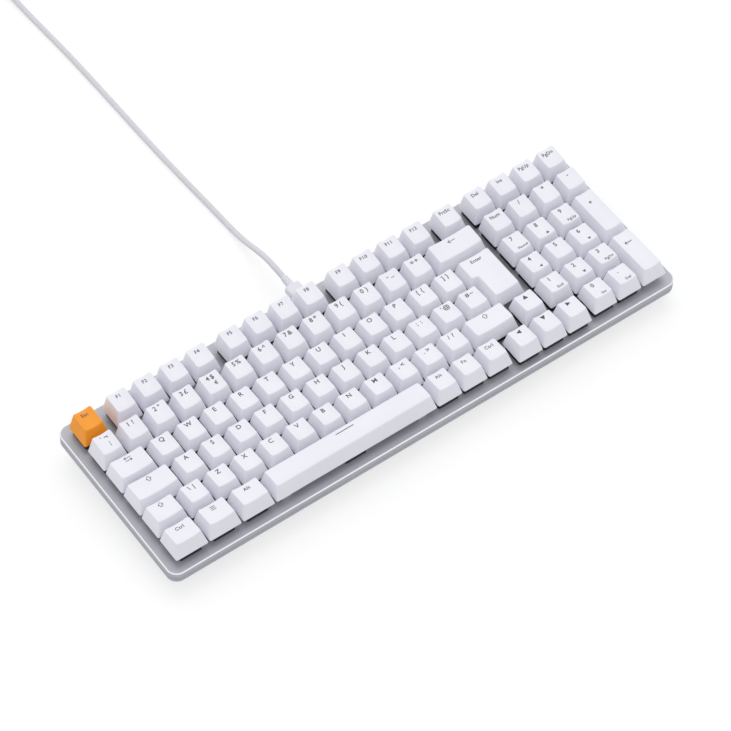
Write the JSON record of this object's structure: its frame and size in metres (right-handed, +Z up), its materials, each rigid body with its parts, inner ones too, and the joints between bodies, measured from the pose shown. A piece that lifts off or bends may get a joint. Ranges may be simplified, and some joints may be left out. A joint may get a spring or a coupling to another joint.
{
  "type": "mechanical keyboard",
  "caption": "Compact mechanical keyboard with number pad, sculpted pressable keycaps over switches in a metal top plate, plastic tray, flip-out feet and a detachable braided lead.",
  "frame": {"origin": "on the desk, under the middle of the keyboard without its lead", "axes": "+X to the user's right along the rows of keys, +Y away from the user towards the lead, +Z up"},
  "size_m": [0.3778, 0.5252, 0.0428],
  "materials": {
    "cap_white": "satin",
    "cap_orange": "satin",
    "anodised_plate": "bead-blasted and anodised",
    "tray_plastic": "fine moulded texture",
    "switch_plastic": "moulded",
    "stabiliser_plastic": "moulded, slightly translucent",
    "board": "solder mask",
    "socket_steel": "bright",
    "rubber": "matte",
    "lead_sleeve": "braided sleeve",
    "tie_fabric": "woven hook-and-loop",
    "plug_plastic": "satin"
  },
  "bodies": {
    "root": {"bottom_case": "tray_plastic", "top_plate": "anodised_plate", "circuit_board": "board", "switch_row_1": "switch_plastic", "switch_row_2": "switch_plastic", "switch_row_3": "switch_plastic", "switch_row_4": "switch_plastic", "switch_row_5": "switch_plastic", "switch_row_6": "switch_plastic", "stabiliser_space": "stabiliser_plastic", "stabiliser_backspace": "stabiliser_plastic", "stabiliser_enter": "stabiliser_plastic", "stabiliser_numpad_plus": "stabiliser_plastic", "stabiliser_numpad_enter": "stabiliser_plastic", "usb_socket": "socket_steel", "rubber_strip_front": "rubber", "rubber_strip_rear": "rubber", "usb_c_plug": "plug_plastic", "lead_cable": "lead_sleeve", "lead_coil": "lead_sleeve", "cable_tie": "tie_fabric", "usb_a_plug": "plug_plastic"},
    "flip_foot_left": {"flip_foot_left": "tray_plastic"},
    "flip_foot_right": {"flip_foot_right": "tray_plastic"},
    "key_escape": {"key_escape": "cap_orange"},
    "keys_f1_to_f4": {"keys_f1_to_f4": "cap_white"},
    "keys_f5_to_f8": {"keys_f5_to_f8": "cap_white"},
    "keys_f9_to_f12": {"keys_f9_to_f12": "cap_white"},
    "key_print_screen": {"key_print_screen": "cap_white"},
    "keys_delete_to_page_down": {"keys_delete_to_page_down": "cap_white"},
    "keys_backtick_to_5": {"keys_backtick_to_5": "cap_white"},
    "keys_6_to_equals": {"keys_6_to_equals": "cap_white"},
    "key_backspace": {"key_backspace": "cap_white"},
    "keys_numpad_top": {"keys_numpad_top": "cap_white"},
    "key_tab": {"key_tab": "cap_white"},
    "keys_q_to_t": {"keys_q_to_t": "cap_white"},
    "keys_y_to_bracket": {"keys_y_to_bracket": "cap_white"},
    "key_enter": {"key_enter": "cap_white"},
    "keys_numpad_7_to_9": {"keys_numpad_7_to_9": "cap_white"},
    "key_numpad_plus": {"key_numpad_plus": "cap_white"},
    "key_caps_lock": {"key_caps_lock": "cap_white"},
    "keys_a_to_g": {"keys_a_to_g": "cap_white"},
    "keys_h_to_hash": {"keys_h_to_hash": "cap_white"},
    "keys_numpad_4_to_6": {"keys_numpad_4_to_6": "cap_white"},
    "key_shift_left": {"key_shift_left": "cap_white"},
    "keys_backslash_to_b": {"keys_backslash_to_b": "cap_white"},
    "keys_n_to_slash": {"keys_n_to_slash": "cap_white"},
    "key_shift_right": {"key_shift_right": "cap_white"},
    "key_arrow_up": {"key_arrow_up": "cap_white"},
    "keys_numpad_1_to_3": {"keys_numpad_1_to_3": "cap_white"},
    "key_numpad_enter": {"key_numpad_enter": "cap_white"},
    "key_control_left": {"key_control_left": "cap_white"},
    "key_system": {"key_system": "cap_white"},
    "key_alt_left": {"key_alt_left": "cap_white"},
    "key_space": {"key_space": "cap_white"},
    "keys_right_modifiers": {"keys_right_modifiers": "cap_white"},
    "key_arrow_left": {"key_arrow_left": "cap_white"},
    "key_arrow_down": {"key_arrow_down": "cap_white"},
    "key_arrow_right": {"key_arrow_right": "cap_white"},
    "keys_numpad_0_and_point": {"keys_numpad_0_and_point": "cap_white"}
  },
  "joints": [
    {"name": "press_escape", "type": "slide", "parent": "root", "child": "key_escape", "axis": [0, 0.0523, -0.9986], "range_m": [0, 0.004], "stiffness_N_per_m": 60, "springref_m": -0.006},
    {"name": "press_f1_to_f4", "type": "slide", "parent": "root", "child": "keys_f1_to_f4", "axis": [0, 0.0523, -0.9986], "range_m": [0, 0.004], "stiffness_N_per_m": 240, "springref_m": -0.006},
    {"name": "press_f5_to_f8", "type": "slide", "parent": "root", "child": "keys_f5_to_f8", "axis": [0, 0.0523, -0.9986], "range_m": [0, 0.004], "stiffness_N_per_m": 240, "springref_m": -0.006},
    {"name": "press_f9_to_f12", "type": "slide", "parent": "root", "child": "keys_f9_to_f12", "axis": [0, 0.0523, -0.9986], "range_m": [0, 0.004], "stiffness_N_per_m": 240, "springref_m": -0.006},
    {"name": "press_print_screen", "type": "slide", "parent": "root", "child": "key_print_screen", "axis": [0, 0.0523, -0.9986], "range_m": [0, 0.004], "stiffness_N_per_m": 60, "springref_m": -0.006},
    {"name": "press_delete_to_page_down", "type": "slide", "parent": "root", "child": "keys_delete_to_page_down", "axis": [0, 0.0523, -0.9986], "range_m": [0, 0.004], "stiffness_N_per_m": 240, "springref_m": -0.006},
    {"name": "press_backtick_to_5", "type": "slide", "parent": "root", "child": "keys_backtick_to_5", "axis": [0, 0.0523, -0.9986], "range_m": [0, 0.004], "stiffness_N_per_m": 360, "springref_m": -0.006},
    {"name": "press_6_to_equals", "type": "slide", "parent": "root", "child": "keys_6_to_equals", "axis": [0, 0.0523, -0.9986], "range_m": [0, 0.004], "stiffness_N_per_m": 420, "springref_m": -0.006},
    {"name": "press_backspace", "type": "slide", "parent": "root", "child": "key_backspace", "axis": [0, 0.0523, -0.9986], "range_m": [0, 0.004], "stiffness_N_per_m": 60, "springref_m": -0.006},
    {"name": "press_numpad_top", "type": "slide", "parent": "root", "child": "keys_numpad_top", "axis": [0, 0.0523, -0.9986], "range_m": [0, 0.004], "stiffness_N_per_m": 240, "springref_m": -0.006},
    {"name": "press_tab", "type": "slide", "parent": "root", "child": "key_tab", "axis": [0, 0.0523, -0.9986], "range_m": [0, 0.004], "stiffness_N_per_m": 60, "springref_m": -0.006},
    {"name": "press_q_to_t", "type": "slide", "parent": "root", "child": "keys_q_to_t", "axis": [0, 0.0523, -0.9986], "range_m": [0, 0.004], "stiffness_N_per_m": 300, "springref_m": -0.006},
    {"name": "press_y_to_bracket", "type": "slide", "parent": "root", "child": "keys_y_to_bracket", "axis": [0, 0.0523, -0.9986], "range_m": [0, 0.004], "stiffness_N_per_m": 420, "springref_m": -0.006},
    {"name": "press_enter", "type": "slide", "parent": "root", "child": "key_enter", "axis": [0, 0.0523, -0.9986], "range_m": [0, 0.004], "stiffness_N_per_m": 60, "springref_m": -0.006},
    {"name": "press_numpad_7_to_9", "type": "slide", "parent": "root", "child": "keys_numpad_7_to_9", "axis": [0, 0.0523, -0.9986], "range_m": [0, 0.004], "stiffness_N_per_m": 180, "springref_m": -0.006},
    {"name": "press_numpad_plus", "type": "slide", "parent": "root", "child": "key_numpad_plus", "axis": [0, 0.0523, -0.9986], "range_m": [0, 0.004], "stiffness_N_per_m": 60, "springref_m": -0.006},
    {"name": "press_caps_lock", "type": "slide", "parent": "root", "child": "key_caps_lock", "axis": [0, 0.0523, -0.9986], "range_m": [0, 0.004], "stiffness_N_per_m": 60, "springref_m": -0.006},
    {"name": "press_a_to_g", "type": "slide", "parent": "root", "child": "keys_a_to_g", "axis": [0, 0.0523, -0.9986], "range_m": [0, 0.004], "stiffness_N_per_m": 300, "springref_m": -0.006},
    {"name": "press_h_to_hash", "type": "slide", "parent": "root", "child": "keys_h_to_hash", "axis": [0, 0.0523, -0.9986], "range_m": [0, 0.004], "stiffness_N_per_m": 420, "springref_m": -0.006},
    {"name": "press_numpad_4_to_6", "type": "slide", "parent": "root", "child": "keys_numpad_4_to_6", "axis": [0, 0.0523, -0.9986], "range_m": [0, 0.004], "stiffness_N_per_m": 180, "springref_m": -0.006},
    {"name": "press_shift_left", "type": "slide", "parent": "root", "child": "key_shift_left", "axis": [0, 0.0523, -0.9986], "range_m": [0, 0.004], "stiffness_N_per_m": 60, "springref_m": -0.006},
    {"name": "press_backslash_to_b", "type": "slide", "parent": "root", "child": "keys_backslash_to_b", "axis": [0, 0.0523, -0.9986], "range_m": [0, 0.004], "stiffness_N_per_m": 360, "springref_m": -0.006},
    {"name": "press_n_to_slash", "type": "slide", "parent": "root", "child": "keys_n_to_slash", "axis": [0, 0.0523, -0.9986], "range_m": [0, 0.004], "stiffness_N_per_m": 300, "springref_m": -0.006},
    {"name": "press_shift_right", "type": "slide", "parent": "root", "child": "key_shift_right", "axis": [0, 0.0523, -0.9986], "range_m": [0, 0.004], "stiffness_N_per_m": 60, "springref_m": -0.006},
    {"name": "press_arrow_up", "type": "slide", "parent": "root", "child": "key_arrow_up", "axis": [0, 0.0523, -0.9986], "range_m": [0, 0.004], "stiffness_N_per_m": 60, "springref_m": -0.006},
    {"name": "press_numpad_1_to_3", "type": "slide", "parent": "root", "child": "keys_numpad_1_to_3", "axis": [0, 0.0523, -0.9986], "range_m": [0, 0.004], "stiffness_N_per_m": 180, "springref_m": -0.006},
    {"name": "press_numpad_enter", "type": "slide", "parent": "root", "child": "key_numpad_enter", "axis": [0, 0.0523, -0.9986], "range_m": [0, 0.004], "stiffness_N_per_m": 60, "springref_m": -0.006},
    {"name": "press_control_left", "type": "slide", "parent": "root", "child": "key_control_left", "axis": [0, 0.0523, -0.9986], "range_m": [0, 0.004], "stiffness_N_per_m": 60, "springref_m": -0.006},
    {"name": "press_system", "type": "slide", "parent": "root", "child": "key_system", "axis": [0, 0.0523, -0.9986], "range_m": [0, 0.004], "stiffness_N_per_m": 60, "springref_m": -0.006},
    {"name": "press_alt_left", "type": "slide", "parent": "root", "child": "key_alt_left", "axis": [0, 0.0523, -0.9986], "range_m": [0, 0.004], "stiffness_N_per_m": 60, "springref_m": -0.006},
    {"name": "press_space", "type": "slide", "parent": "root", "child": "key_space", "axis": [0, 0.0523, -0.9986], "range_m": [0, 0.004], "stiffness_N_per_m": 60, "springref_m": -0.006},
    {"name": "press_right_modifiers", "type": "slide", "parent": "root", "child": "keys_right_modifiers", "axis": [0, 0.0523, -0.9986], "range_m": [0, 0.004], "stiffness_N_per_m": 180, "springref_m": -0.006},
    {"name": "press_arrow_left", "type": "slide", "parent": "root", "child": "key_arrow_left", "axis": [0, 0.0523, -0.9986], "range_m": [0, 0.004], "stiffness_N_per_m": 60, "springref_m": -0.006},
    {"name": "press_arrow_down", "type": "slide", "parent": "root", "child": "key_arrow_down", "axis": [0, 0.0523, -0.9986], "range_m": [0, 0.004], "stiffness_N_per_m": 60, "springref_m": -0.006},
    {"name": "press_arrow_right", "type": "slide", "parent": "root", "child": "key_arrow_right", "axis": [0, 0.0523, -0.9986], "range_m": [0, 0.004], "stiffness_N_per_m": 60, "springref_m": -0.006},
    {"name": "press_numpad_0_and_point", "type": "slide", "parent": "root", "child": "keys_numpad_0_and_point", "axis": [0, 0.0523, -0.9986], "range_m": [0, 0.004], "stiffness_N_per_m": 120, "springref_m": -0.006},
    {"name": "fold_left_foot", "type": "hinge", "parent": "root", "child": "flip_foot_left", "pos_m": [-0.112, 0.04682, 0.0047], "axis": [1, 0, 0], "range_deg": [0, 90]},
    {"name": "fold_right_foot", "type": "hinge", "parent": "root", "child": "flip_foot_right", "pos_m": [0.112, 0.04682, 0.0047], "axis": [1, 0, 0], "range_deg": [0, 90]}
  ]
}
